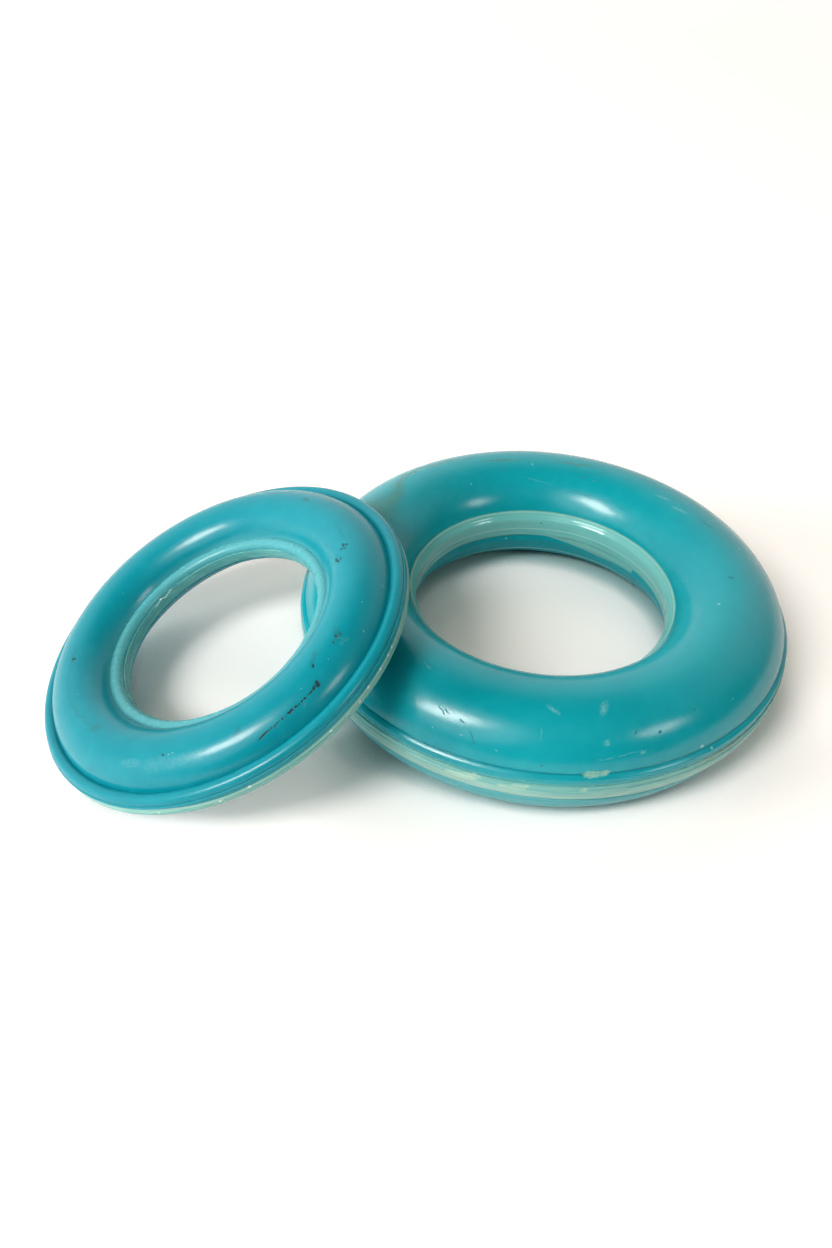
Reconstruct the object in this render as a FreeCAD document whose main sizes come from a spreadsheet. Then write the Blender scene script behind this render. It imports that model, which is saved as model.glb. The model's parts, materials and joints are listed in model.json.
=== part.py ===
"""Hand grip strengthener: a set of two moulded rubber grip rings.

The large ring lies flat. The small ring leans on its flank, with one edge on the table. Each ring is a
pale rubber core between two teal rubber covers. A section through a ring, from the hole outwards:

    bore wall | bore bead | crown | rim bead | rim

The crowns are round. A crease parts each from the beads, which run round the hole and the rim. Between
the covers the trimmed edge of the core shows as a pale band, which stands a little proud of them.

Origin: the centre of the large ring's hole, halfway up the ring. Z runs along its axis. Millimetres.
"""
import FreeCAD
import Part
import Sketcher
import math
import os

# What each driving size of a ring is
RING_NOTES = {
    "rim_radius": "axis to the pale band round the rim",
    "bore_radius": "axis to the pale wall of the hole",
    "thickness": "over both crowns",
    "rim_reach": "how far the rim stands out past the crowns",
    "bore_reach": "how far the bore wall stands in past the crowns",
    "cover_wall": "thickness of a cover over the core",
    "band_step": "how far the core's edge stands proud of the covers' lips",
    "rim_band": "mid-plane to the edge of a cover's lip at the rim",
    "rim_lip": "straight part of that lip",
    "rim_bead": "straight part to the crease beside the crown, at the rim",
    "bore_band": "mid-plane to the edge of a cover's lip in the bore",
    "bore_lip": "straight part of that lip",
    "bore_bead": "straight part to the crease beside the crown, in the bore",
    "groove_width": "mouth of the parting groove round the rim",
    "groove_depth": "from that mouth to the groove's root",
    "rest_width": "flat land under the lower crown",
}

# Driving sizes of the large ring
LARGE_SIZES = {
    "rim_radius": 42.5,
    "bore_radius": 22.4,
    "thickness": 20.1,
    "rim_reach": 0.55,
    "bore_reach": 0.15,
    "cover_wall": 3.0,
    "band_step": 0.2,
    "rim_band": 0.9,
    "rim_lip": 0.2,
    "rim_bead": 1.6,
    "bore_band": 1.15,
    "bore_lip": 0.6,
    "bore_bead": 2.25,
    "groove_width": 0.3,
    "groove_depth": 0.2,
    "rest_width": 3.4,
}

# Driving sizes of the small ring
SMALL_SIZES = {
    "rim_radius": 32.4,
    "bore_radius": 17.5,
    "thickness": 11.2,
    "rim_reach": 2.05,
    "bore_reach": 1.8,
    "cover_wall": 1.8,
    "band_step": 0.2,
    "rim_band": 0.9,
    "rim_lip": 0.1,
    "rim_bead": 0.5,
    "bore_band": 0.85,
    "bore_lip": 0.1,
    "bore_bead": 0.85,
    "groove_width": 0.3,
    "groove_depth": 0.25,
    "rest_width": 2.4,
}

# Sizes that follow from those
RING_FORMULAS = (
    ("crown_radius", "(rim_radius - rim_reach - bore_radius - bore_reach) / 2"),
    ("crown_circle", "bore_radius + bore_reach + crown_radius"),
    ("crown_height", "thickness / 2 - crown_radius"),
    ("core_radius", "crown_radius - cover_wall"),
    ("rim_lip_radius", "rim_radius - band_step"),
    ("bore_lip_radius", "bore_radius + band_step"),
    ("rim_land", "rim_band + rim_lip"),
    ("bore_land", "bore_band + bore_lip"),
    ("rim_crease", "rim_land + rim_bead"),
    ("bore_crease", "bore_land + bore_bead"),
    ("rim_crease_radius", "crown_circle + sqrt(crown_radius ^ 2 - (rim_crease - crown_height) ^ 2)"),
    ("bore_crease_radius", "crown_circle - sqrt(crown_radius ^ 2 - (bore_crease - crown_height) ^ 2)"),
    ("rim_bead_reach", "rim_radius - rim_crease_radius"),
    ("rim_bead_radius", "(rim_bead_reach + rim_bead ^ 2 / rim_bead_reach) / 2"),
    ("groove_root", "rim_radius - groove_depth"),
    ("groove_edge", "groove_width / 2"),
    ("rest_height", "crown_height + sqrt(crown_radius ^ 2 - rest_width ^ 2 / 4)"),
)

# How the pair lies, angles in degrees
PAIR_NOTES = {
    "lean_angle": "between the two rings' axes",
    "lean_azimuth": "the way the small ring faces, from X towards Y",
    "lean_bearing": "from the large ring's axis to the small ring's centre, from X towards Y",
    "lean_clearance": "least gap between the two rings",
}
PAIR_SIZES = {
    "lean_angle": 24.4,
    "lean_azimuth": 204.6,
    "lean_bearing": 208.0,
    "lean_clearance": 0.15,
}

# Where the cover stops at the crease and the core has the bead; elsewhere the cover laps over the bead
BARE_BEADS = {("large", "upper", "bore"), ("large", "lower", "rim")}
SIDES = {"upper": 1, "lower": -1}
EDGES = {"rim": 1, "bore": -1}

# The sketcher's numbers for a curve's points, for a sketch's origin and for its X axis
START, END, CENTRE = 1, 2, 3
ORIGIN = (-1, 1)
X_AXIS = -1

# How finely the small ring's resting place is worked out, in millimetres and whole degrees
SECTION_DEFLECTION = 0.01
SEAT_STEP = 0.002
FACING_DEGREES = range(-90, 91)


def add_sheet(document, name, sizes, notes, formulas=()):
    """Write driving sizes as plain numbers, and formulas below them, each under its own alias."""
    sheet = document.addObject("Spreadsheet::Sheet", name)
    rows = [(alias, str(value), notes[alias]) for alias, value in sizes.items()]
    rows += [(alias, "=" + formula, "follows from the sizes above") for alias, formula in formulas]
    for row, (alias, content, note) in enumerate(rows, start=1):
        sheet.set(f"A{row}", alias)
        sheet.set(f"B{row}", content)
        sheet.set(f"C{row}", note)
        sheet.setAlias(f"B{row}", alias)
    document.recompute()
    return sheet


class Ring:
    """A ring's name, its sheet of sizes, and what the sheet works out for each of them."""

    def __init__(self, document, name, sizes):
        self.name = name
        self.sheet = add_sheet(document, f"{name}_sizes", sizes, RING_NOTES, RING_FORMULAS)
        aliases = [*sizes, *(alias for alias, formula in RING_FORMULAS)]
        self.sizes = {alias: float(self.sheet.get(alias)) for alias in aliases}

    def size(self, alias):
        return self.sizes[alias]

    def bound(self, alias, side="upper"):
        """The expression for a size, which is negative below the mid-plane."""
        sign = "" if SIDES[side] > 0 else "-"
        return f"{sign}{self.sheet.Name}.{alias}"


class Vertex:
    """A corner of a section. Its height is a size of the ring, or none on the mid-plane. Its radius is
    one too, or it lies where a circle round the crown's centre has that height, towards rim or bore."""

    def __init__(self, ring, side, height, radius=None, circle=None, edge="rim"):
        self.height = height
        self.y = SIDES[side] * ring.size(height) if height else 0
        self.y_bound = ring.bound(height, side) if height else None
        self.x_bound = None
        if radius:
            self.x = ring.size(radius)
            self.x_bound = ring.bound(radius)
        else:
            rise = ring.size(height) - ring.size("crown_height")
            across = math.sqrt(ring.size(circle) ** 2 - rise ** 2)
            self.x = ring.size("crown_circle") + EDGES[edge] * across


class Section:
    """A closed sketch of lines and arcs on a plane through the ring's axis: X is radius, Y is height."""

    def __init__(self, body, ring):
        self.ring = ring
        self.sketch = body.newObject("Sketcher::SketchObject", body.Name + "_section")
        planes = {plane.Role: plane for plane in body.Origin.OriginFeatures}
        self.sketch.AttachmentSupport = [(planes["XZ_Plane"], "")]
        self.sketch.MapMode = "FlatFace"
        self.joints = []

    def constrain(self, kind, *points):
        return self.sketch.addConstraint(Sketcher.Constraint(kind, *points))

    def hold(self, kind, target, value, expression):
        """Tie a point's X or Y to an expression. A negative one is measured from point to origin."""
        points = (*ORIGIN, *target)
        if value < 0:
            points = (*target, *ORIGIN)
            expression = f"-({expression})"
        index = self.constrain(kind, *points, abs(value))
        self.sketch.setExpression(f"Constraints[{index}]", expression)

    def add(self, curve, end, forward=True):
        """Add a curve, join its start to the curve before, and hold its end at the vertex there."""
        geometry = self.sketch.addGeometry(curve)
        first, last = (START, END) if forward else (END, START)
        if self.joints:
            self.constrain("Coincident", *self.joints[-1][1], geometry, first)
        self.joints.append(((geometry, first), (geometry, last)))
        if end.x_bound:
            self.hold("DistanceX", (geometry, last), end.x, end.x_bound)
        if end.y_bound:
            self.hold("DistanceY", (geometry, last), end.y, end.y_bound)
        else:
            self.constrain("PointOnObject", geometry, last, X_AXIS)
        return geometry

    def close(self):
        self.constrain("Coincident", *self.joints[-1][1], *self.joints[0][0])

    def arc(self, centre, start, end, turn):
        """An arc round a centre, anticlockwise where turn is 1 and clockwise where it is -1."""
        corners = (start, end) if turn > 0 else (end, start)
        angles = [math.atan2(corner.y - centre[1], corner.x - centre[0]) for corner in corners]
        if angles[1] < angles[0]:
            angles[1] += 2 * math.pi
        radius = math.hypot(start.x - centre[0], start.y - centre[1])
        circle = Part.Circle(FreeCAD.Vector(*centre, 0), FreeCAD.Vector(0, 0, 1), radius)
        return self.add(Part.ArcOfCircle(circle, *angles), end, turn > 0)

    def crown(self, side, radius, start, end, turn):
        """An arc round the crown's centre, the crown itself or the face of the core under it."""
        ring = self.ring
        centre = ring.size("crown_circle"), SIDES[side] * ring.size("crown_height")
        geometry = self.arc(centre, start, end, turn)
        self.hold("DistanceX", (geometry, CENTRE), centre[0], ring.bound("crown_circle"))
        self.hold("DistanceY", (geometry, CENTRE), centre[1], ring.bound("crown_height", side))
        index = self.constrain("Radius", geometry, ring.size(radius))
        self.sketch.setExpression(f"Constraints[{index}]", ring.bound(radius))

    def bead(self, start, end, turn):
        """An arc from crease to land, or back, that meets the straight land without a corner."""
        land, crease = (start, end) if start.height.endswith("land") else (end, start)
        reach, rise = crease.x - land.x, crease.y - land.y
        centre = land.x + (reach ** 2 + rise ** 2) / (2 * reach), land.y
        geometry = self.arc(centre, start, end, turn)
        self.hold("DistanceY", (geometry, CENTRE), land.y, land.y_bound)

    def path(self, vertices, turn=1):
        """Straight lines through the vertices, with a bead between each land and its crease."""
        for start, end in zip(vertices, vertices[1:]):
            names = {str(corner.height).split("_")[-1] for corner in (start, end)}
            if names == {"land", "crease"}:
                self.bead(start, end, turn)
            else:
                ends = [FreeCAD.Vector(corner.x, corner.y, 0) for corner in (start, end)]
                self.add(Part.LineSegment(*ends), end)


def cover_edge(ring, side, edge):
    """A cover's outside from its lip to the crease, or only the crease where it doesn't lap the bead."""
    crease = Vertex(ring, side, f"{edge}_crease", circle="crown_radius", edge=edge)
    if (ring.name, side, edge) in BARE_BEADS:
        return [crease]
    lip = f"{edge}_lip_radius"
    return [Vertex(ring, side, f"{edge}_band", lip), Vertex(ring, side, f"{edge}_land", lip), crease]


def seam_corner(ring, side, edge):
    """Where the face between cover and core comes out from under the crown."""
    bare = (ring.name, side, edge) in BARE_BEADS
    return Vertex(ring, side, f"{edge}_crease" if bare else f"{edge}_band", circle="core_radius", edge=edge)


def core_edge(ring, side, edge):
    """The core's outside from its wall, over its own bead where that is bare, to the cover's edge."""
    wall, seam = f"{edge}_radius", seam_corner(ring, side, edge)
    if (ring.name, side, edge) in BARE_BEADS:
        crease = Vertex(ring, side, f"{edge}_crease", f"{edge}_crease_radius")
        return [Vertex(ring, side, f"{edge}_land", wall), crease, seam]
    return [Vertex(ring, side, f"{edge}_band", wall), seam]


def draw_cover(section, side):
    """From the rim over the crown to the bore, and back along the core."""
    ring, turn = section.ring, SIDES[side]
    rim, bore = cover_edge(ring, side, "rim"), cover_edge(ring, side, "bore")[::-1]
    seams = [seam_corner(ring, side, edge) for edge in ("bore", "rim")]
    section.path(rim, turn)
    if side == "lower":
        flat = [Vertex(ring, side, "rest_height", circle="crown_radius", edge=edge) for edge in EDGES]
        section.crown(side, "crown_radius", rim[-1], flat[0], turn)
        section.path(flat)
        section.crown(side, "crown_radius", flat[1], bore[0], turn)
    else:
        section.crown(side, "crown_radius", rim[-1], bore[0], turn)
    section.path(bore + seams[:1], turn)
    section.crown(side, "core_radius", *seams, -turn)
    section.path(seams[1:] + rim[:1])
    section.close()


def draw_core(section):
    """Anticlockwise from the root of the parting groove, over the top to the bore and back below."""
    ring = section.ring
    upper_rim, lower_rim = core_edge(ring, "upper", "rim"), core_edge(ring, "lower", "rim")[::-1]
    upper_bore, lower_bore = core_edge(ring, "upper", "bore")[::-1], core_edge(ring, "lower", "bore")
    groove = [Vertex(ring, side, "groove_edge", "rim_radius") for side in SIDES]
    root = Vertex(ring, "upper", None, "groove_root")
    section.path([root, groove[0]] + upper_rim)
    section.crown("upper", "core_radius", upper_rim[-1], upper_bore[0], 1)
    section.path(upper_bore + lower_bore)
    section.crown("lower", "core_radius", lower_bore[-1], lower_rim[0], 1)
    section.path(lower_rim + [groove[1], root])
    section.close()


def add_piece(document, ring, piece, draw, *side):
    """A body with one section, turned once round the ring's axis."""
    body = document.addObject("PartDesign::Body", f"{ring.name}_{piece}")
    section = Section(body, ring)
    draw(section, *side)
    turned = body.newObject("PartDesign::Revolution", body.Name + "_turned")
    turned.Profile = section.sketch
    turned.ReferenceAxis = (section.sketch, ["V_Axis"])
    turned.Angle = 360
    body.Tip = turned
    return body


def section_points(bodies):
    """Points (radius, height) along every line and arc of a ring's sections."""
    edges = [edge for body in bodies for edge in body.Tip.Profile[0].Shape.Edges]
    return [(spot.x, spot.z) for edge in edges
            for spot in edge.discretize(Deflection=SECTION_DEFLECTION)]


def gap_to(ring, radius, height):
    """How far a point lies outside a ring's section: its round crowns, or the rounded edge of its rim."""
    over = abs(height)
    crown = math.hypot(radius - ring.size("crown_circle"), over - ring.size("crown_height"))
    bead = ring.size("rim_bead_radius")
    reach = max(radius - ring.size("rim_radius") + bead, 0)
    rim = math.hypot(reach, max(over - ring.size("rim_land"), 0))
    return min(crown - ring.size("crown_radius"), rim - bead)


def lean(rings, bodies, pair):
    """Where the small ring comes to lie: down on the table, and in until the two rings all but meet."""
    large = rings["large"]
    angle, azimuth, bearing = (math.radians(float(pair.get("lean_" + word)))
                               for word in ("angle", "azimuth", "bearing"))
    section = section_points(bodies["small"])
    lowest = min(height * math.cos(angle) - radius * math.sin(angle) for radius, height in section)
    turn = FreeCAD.Rotation(FreeCAD.Vector(-math.sin(azimuth), math.cos(azimuth), 0), math.degrees(angle))
    facing = [bearing + math.pi + math.radians(degree) for degree in FACING_DEGREES]
    surface = [turn.multVec(FreeCAD.Vector(radius * math.cos(way), radius * math.sin(way), height))
               for radius, height in section for way in facing]

    def centre(distance):
        across = FreeCAD.Vector(math.cos(bearing), math.sin(bearing), 0) * distance
        return across - FreeCAD.Vector(0, 0, large.size("rest_height") + lowest)

    def least_gap(distance):
        spots = (spot + centre(distance) for spot in surface)
        return min(gap_to(large, math.hypot(spot.x, spot.y), spot.z) for spot in spots)

    near = large.size("crown_circle")
    far = large.size("rim_radius") + rings["small"].size("rim_radius")
    while far - near > SEAT_STEP:
        middle = (near + far) / 2
        if least_gap(middle) > float(pair.get("lean_clearance")):
            far = middle
        else:
            near = middle
    return FreeCAD.Placement(centre(far), turn)


def check(document):
    """Stop on any object that failed, and on any piece that isn't one sound solid."""
    for item in document.Objects:
        if {"Invalid", "Error"} & set(item.State):
            raise RuntimeError(f"{item.Label} failed: {item.State}")
    for body in document.findObjects("PartDesign::Body"):
        shape = body.Shape
        if shape.isNull() or not shape.isValid() or len(shape.Solids) != 1:
            raise RuntimeError(f"{body.Label} isn't one sound solid")


document = FreeCAD.newDocument("grip_rings")
rings = {
    "large": Ring(document, "large", LARGE_SIZES),
    "small": Ring(document, "small", SMALL_SIZES),
}
pair = add_sheet(document, "pair_sizes", PAIR_SIZES, PAIR_NOTES)
bodies = {}
for name, ring in rings.items():
    bodies[name] = [
        add_piece(document, ring, "core", draw_core),
        add_piece(document, ring, "upper_cover", draw_cover, "upper"),
        add_piece(document, ring, "lower_cover", draw_cover, "lower"),
    ]
document.recompute()
seat = lean(rings, bodies, pair)
for body in bodies["small"]:
    body.Placement = seat
document.recompute()
check(document)

os.makedirs("parts", exist_ok=True)
for pieces in bodies.values():
    for body in pieces:
        body.Shape.exportStep(f"parts/{body.Label}.step")
        box = body.Shape.optimalBoundingBox()
        print(f"{body.Label}: {body.Shape.Volume:.0f} mm3, z {box.ZMin:.2f} to {box.ZMax:.2f}")
print("small ring's centre", [round(value, 3) for value in seat.Base], "axis",
      [round(value, 5) for value in seat.Rotation.multVec(FreeCAD.Vector(0, 0, 1))])
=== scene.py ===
"""Two moulded rubber grip rings, the small one leaning on the flank of the large one.

The rings' sizes are in millimetres from each ring's own axis and mid-plane, and the scene is in metres.
"""
import json
import math

import bpy
import numpy as np
from mathutils import Matrix, Vector


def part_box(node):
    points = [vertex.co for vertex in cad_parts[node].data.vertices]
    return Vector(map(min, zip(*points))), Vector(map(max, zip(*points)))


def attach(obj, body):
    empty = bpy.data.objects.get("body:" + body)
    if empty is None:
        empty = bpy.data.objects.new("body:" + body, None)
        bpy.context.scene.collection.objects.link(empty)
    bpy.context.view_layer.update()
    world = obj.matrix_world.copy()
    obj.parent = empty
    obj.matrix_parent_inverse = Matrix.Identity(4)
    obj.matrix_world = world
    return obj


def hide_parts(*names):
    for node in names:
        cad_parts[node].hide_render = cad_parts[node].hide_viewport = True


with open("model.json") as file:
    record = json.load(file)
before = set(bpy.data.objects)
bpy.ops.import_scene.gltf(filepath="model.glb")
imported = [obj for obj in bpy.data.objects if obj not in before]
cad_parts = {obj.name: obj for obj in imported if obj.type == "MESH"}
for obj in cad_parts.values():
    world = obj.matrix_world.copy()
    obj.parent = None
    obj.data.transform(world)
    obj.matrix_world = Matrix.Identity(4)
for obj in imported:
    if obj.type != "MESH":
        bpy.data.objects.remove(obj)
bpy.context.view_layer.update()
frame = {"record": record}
mounts = {mount["name"]: mount for mount in frame["record"]["mounts"]}


# The large ring's core: pale rubber, moulded first, which fills both covers. Its trimmed edge shows as a
# band round the rim and in the hole. It has a bead of its own under the rim band and above the hole's wall.

UP = Vector((0, 0, 1))


class Form:
    """One ring's sizes in millimetres: radii from its axis, heights from its mid-plane. A way is 1 at the
    rim and -1 in the hole, and a side is 1 above and -1 below. Each crown is part of a circle, which stays
    clear of the walls by the reach. A bead leaves the straight wall at its land and ends at the crease
    beside the crown. A cover's lip stands back from the wall by the step, and ends at the band's height.
    Bare are the sides and ways where no cover laps the core."""

    BEAD_POINTS, CROWN_POINTS = 24, 240

    def __init__(self, **sizes):
        self.__dict__.update(sizes)
        self.crown = (self.wall[1] - self.reach[1] - self.wall[-1] - self.reach[-1]) / 2
        self.circle = self.wall[-1] + self.reach[-1] + self.crown
        self.lift = self.thickness / 2 - self.crown
        self.inner = self.crown - self.cover

    def on_circle(self, radius, height, way):
        """Where the circle of that radius round the crown's centre has that height."""
        return [self.circle + way * math.sqrt(radius ** 2 - (height - self.lift) ** 2), height]

    def bead(self, way, radius):
        """From the straight wall to the crease: an arc that leaves the wall without a corner."""
        land, crease = self.land[way], self.crease[way]
        reach = self.on_circle(self.crown, crease, way)[0] - radius
        bow = (reach ** 2 + (crease - land) ** 2) / (2 * reach)
        turn = math.asin((crease - land) / abs(bow))
        swing = np.linspace(0, turn if abs(reach) < abs(bow) else math.pi - turn, self.BEAD_POINTS)
        return np.stack([radius + bow * (1 - np.cos(swing)), land + abs(bow) * np.sin(swing)], axis=1)

    def over(self, radius, start, end):
        """The circle round the crown's centre, from one height on the rim's side to one on the bore's."""
        first = math.asin((start - self.lift) / radius)
        last = math.pi - math.asin((end - self.lift) / radius)
        swing = np.linspace(first, last, self.CROWN_POINTS)
        return np.stack([self.circle + radius * np.cos(swing), self.lift + radius * np.sin(swing)], axis=1)

    def seam(self, side, way):
        """The height at which the face between cover and core comes out."""
        return self.crease[way] if (side, way) in self.bare else self.band[way]

    def core_edge(self, side, way):
        """From the core's wall out to the face under the cover, by way of the core's own bead if bare."""
        seam = self.on_circle(self.inner, self.seam(side, way), way)
        if (side, way) in self.bare:
            return [*self.bead(way, self.wall[way]), seam]
        return [[self.wall[way], self.band[way]], seam]

    def core(self):
        """The core's closed section, anticlockwise from the parting groove."""
        halves = []
        for side in (1, -1):
            face = self.over(self.inner, self.seam(side, 1), self.seam(side, -1))
            half = [*self.groove, *self.core_edge(side, 1), *face, *self.core_edge(side, -1)[::-1]]
            halves.append(np.array(half) * (1, side))
        return np.concatenate([halves[0], halves[1][::-1]])

    def shell(self, side):
        """A cover's closed section, anticlockwise from its lip at the rim. The lower one has a land."""
        crown = self.over(self.crown, self.crease[1], self.crease[-1])
        if side < 0:
            crown[:, 1] = np.minimum(crown[:, 1], self.rest)
        edges = {}
        for way in (1, -1):
            edges[way] = []
            if (side, way) not in self.bare:
                lip = self.wall[way] - way * self.step
                edges[way] = [[lip, self.band[way]], *self.bead(way, lip)]
        face = self.over(self.inner, self.seam(side, 1), self.seam(side, -1))[::-1]
        loop = np.array([*edges[1], *crown, *edges[-1][::-1], *face]) * (1, side)
        return loop[::side]

    def crown_place(self, angle, over):
        """A place on the crown, and the way out of it: over is 0 towards the rim, 90 on top."""
        out = around(angle) * math.cos(math.radians(over)) + UP * math.sin(math.radians(over))
        return around(angle) * self.circle + UP * self.lift + out * self.crown, out

    def wall_place(self, way, angle, height):
        """A place on the straight wall at the rim or in the bore, and the way out of it."""
        return around(angle) * self.wall[way] + UP * height, around(angle) * way


def around(angle):
    """The unit vector from the axis towards that ring angle, in degrees."""
    return Vector((math.cos(math.radians(angle)), math.sin(math.radians(angle)), 0))


def eased(loop, spread, pitch=0.02):
    """A closed section with soft corners: even points along it, each the mean of its neighbours under a
    bell curve of that spread, which is a product of the two after a Fourier transform."""
    closed = np.concatenate([loop, loop[:1]])
    along = np.concatenate([[0], np.cumsum(np.hypot(*np.diff(closed, axis=0).T))])
    count = int(along[-1] / pitch)
    even = np.linspace(0, along[-1], count, endpoint=False)
    points = np.stack([np.interp(even, along, column) for column in closed.T], axis=1)
    wave = np.fft.fftfreq(count, along[-1] / count)
    curve = np.exp(-2 * (math.pi * wave * spread) ** 2)
    return np.fft.ifft(np.fft.fft(points, axis=0) * curve[:, None], axis=0).real


def bell(distance, width):
    """1 at no distance, falling to 0 over about twice the width."""
    return np.exp(-(distance / width) ** 2)


RIDGE_REACH = 1.2


def ridged(points, form, way, ridges):
    """Fine ridges along one edge of a section, within reach of its wall: at each height the face stands
    out by that size along the section's normal, under a bell curve with its own width above and below."""
    step = np.roll(points, -1, axis=0) - np.roll(points, 1, axis=0)
    out = step[:, ::-1] * (1, -1) / np.hypot(*step.T)[:, None]
    edge = np.abs(points[:, 0] - form.wall[way]) < RIDGE_REACH
    lift = sum(size * bell(points[:, 1] - height, np.where(points[:, 1] > height, above, below))
               for height, size, above, below in ridges)
    return points + out * (lift * edge)[:, None]


def thinned(points, longest, sharpest):
    """Few of those points, closer where the section bends: a new one after that length or that turn."""
    step = np.roll(points, -1, axis=0) - points
    heading = np.arctan2(step[:, 1], step[:, 0])
    turn = np.abs((np.roll(heading, -1) - heading + math.pi) % (2 * math.pi) - math.pi)
    used = np.cumsum(np.hypot(*step.T) / longest + turn / sharpest)
    rows = int(used[-1])
    keep = np.unique(np.searchsorted(used, np.arange(rows) * used[-1] / rows))
    return points[keep]


def angles(count):
    """That many even angles round a ring."""
    return np.linspace(-math.pi, math.pi, count, endpoint=False)


def ring_mesh(name, section, turns, seat, dress):
    """A ring-shaped piece: a place on it is (r cos a, r sin a, z), with r and z from the section and a
    from the angles. dress(a, r, z, out) moves it in the ring's frame, and seat puts the ring in place."""
    tangent = np.roll(section, -1, axis=0) - np.roll(section, 1, axis=0)
    tangent /= np.hypot(*tangent.T)[:, None]
    rows, columns = len(section), len(turns)
    angle = np.repeat(turns[None, :], rows, axis=0)
    radius, height = (np.repeat(column[:, None], columns, axis=1) for column in section.T)
    out = np.repeat(tangent[:, None, :], columns, axis=1)[..., ::-1] * (1, -1)
    place = np.stack([radius * np.cos(angle), radius * np.sin(angle), height], axis=2).reshape(-1, 3)
    outward, upward = dress(angle, radius, height, out)
    radius, height = radius + outward, height + upward
    moved = np.stack([radius * np.cos(angle), radius * np.sin(angle), height], axis=2).reshape(-1, 3)
    world = moved / 1000 @ np.array(seat.to_3x3()).T + np.array(seat.translation)
    grid = np.arange(rows * columns).reshape(rows, columns)
    right, above = np.roll(grid, -1, axis=1), np.roll(grid, -1, axis=0)
    faces = np.stack([grid, right, np.roll(right, -1, axis=0), above], axis=2).reshape(-1, 4)
    mesh = bpy.data.meshes.new(name)
    mesh.from_pydata(world.tolist(), [], faces.tolist())
    mesh.polygons.foreach_set("use_smooth", np.ones(len(faces), dtype=bool))
    mesh.attributes.new("place", "FLOAT_VECTOR", "POINT").data.foreach_set("vector", place.ravel())
    piece = bpy.data.objects.new(name, mesh)
    bpy.context.scene.collection.objects.link(piece)
    return piece


class Value:
    """A number, colour or vector on its way through a material. Sums and products of numbers add the
    Math nodes that work them out."""

    def __init__(self, socket):
        self.socket = socket

    def node(self, kind, settings=None, inputs=None, output=0):
        """A new node beside this one: its settings first, then a value or a link for each socket."""
        tree = self.socket.id_data
        made = tree.nodes.new(kind)
        for name, setting in (settings or {}).items():
            setattr(made, name, setting)
        for name, value in (inputs or {}).items():
            if isinstance(value, Value):
                tree.links.new(value.socket, made.inputs[name])
            else:
                made.inputs[name].default_value = value
        return Value(made.outputs[output])

    def math(self, operation, *values):
        return self.node("ShaderNodeMath", {"operation": operation}, dict(enumerate(values)))

    def __add__(self, other):
        return self.math("ADD", self, other)

    def __sub__(self, other):
        return self.math("SUBTRACT", self, other)

    def __rsub__(self, other):
        return self.math("SUBTRACT", other, self)

    def __mul__(self, other):
        return self.math("MULTIPLY", self, other)

    __radd__ = __add__
    __rmul__ = __mul__


def srgb(red, green, blue):
    """A colour as seen on a screen (0 to 255), as the linear numbers that a shader takes."""
    seen = np.array([red, green, blue]) / 255
    return tuple(np.where(seen > 0.04045, ((seen + 0.055) / 1.055) ** 2.4, seen / 12.92))


def material_of(piece):
    """A new material on the piece: its shader, and each point's place in the ring's own frame."""
    material = bpy.data.materials.new(piece.name)
    material.use_nodes = True
    piece.data.materials.append(material)
    nodes = material.node_tree.nodes
    shader = nodes["Principled BSDF"]
    start = Value(shader.outputs[0])
    return shader, start.node("ShaderNodeAttribute", {"attribute_name": "place"}, output=1)


def finish(shader, colour, roughness, bump, depth):
    """Link what varies to the shader; bump is in parts of the depth, in metres."""
    relief = bump.node("ShaderNodeBump", None, {"Strength": 1.0, "Distance": depth, "Height": bump})
    links = shader.id_data.links
    links.new(colour.socket, shader.inputs["Base Color"])
    links.new(roughness.socket, shader.inputs["Roughness"])
    links.new(relief.socket, shader.inputs["Normal"])


def noise(place, level, upright, detail=3.0, offset=0.0):
    """Cloudy noise from 0 to 1, in features per millimetre along the ring and up its axis."""
    spread = place.node("ShaderNodeMapping", None, {
        "Vector": place, "Location": (offset, offset, offset), "Scale": (level, level, upright)})
    return spread.node("ShaderNodeTexNoise", None, {
        "Vector": spread, "Scale": 1.0, "Detail": detail, "Roughness": 0.55})


def between(value, low, high, curve="SMOOTHSTEP"):
    """0 where the value is at the first bound or past it, 1 at the second, and smooth between."""
    return value.node("ShaderNodeMapRange", {"interpolation_type": curve}, {
        "Value": value, "From Min": low, "From Max": high, "To Min": 0.0, "To Max": 1.0})


def line_at(height, at, edge, core):
    """1 on a level line round the ring at that height: 0 from its edge on, and whole within its core."""
    return between(height.math("ABSOLUTE", height - at), edge, core)


def blend(factor, low, high):
    """The first colour where the factor is 0 and the second where it is 1."""
    sockets = {0: factor, 6: as_colour(low), 7: as_colour(high)}
    return factor.node("ShaderNodeMix", {"data_type": "RGBA"}, sockets, output=2)


def as_colour(colour):
    return colour if isinstance(colour, Value) else (*colour, 1)


def parts_of(place):
    """The X, Y and Z of a place."""
    split = place.node("ShaderNodeSeparateXYZ", None, {0: place})
    return [Value(output) for output in split.socket.node.outputs]


def radius_and_height(place):
    """How far a place is from the ring's axis, and how high above its mid-plane."""
    x, y, height = parts_of(place)
    return x.math("SQRT", x * x + y * y), height


def ring_angle(place):
    """The angle of a place round the ring, in degrees."""
    x, y, height = parts_of(place)
    return math.degrees(1) * y.math("ARCTAN2", y, x)


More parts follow.
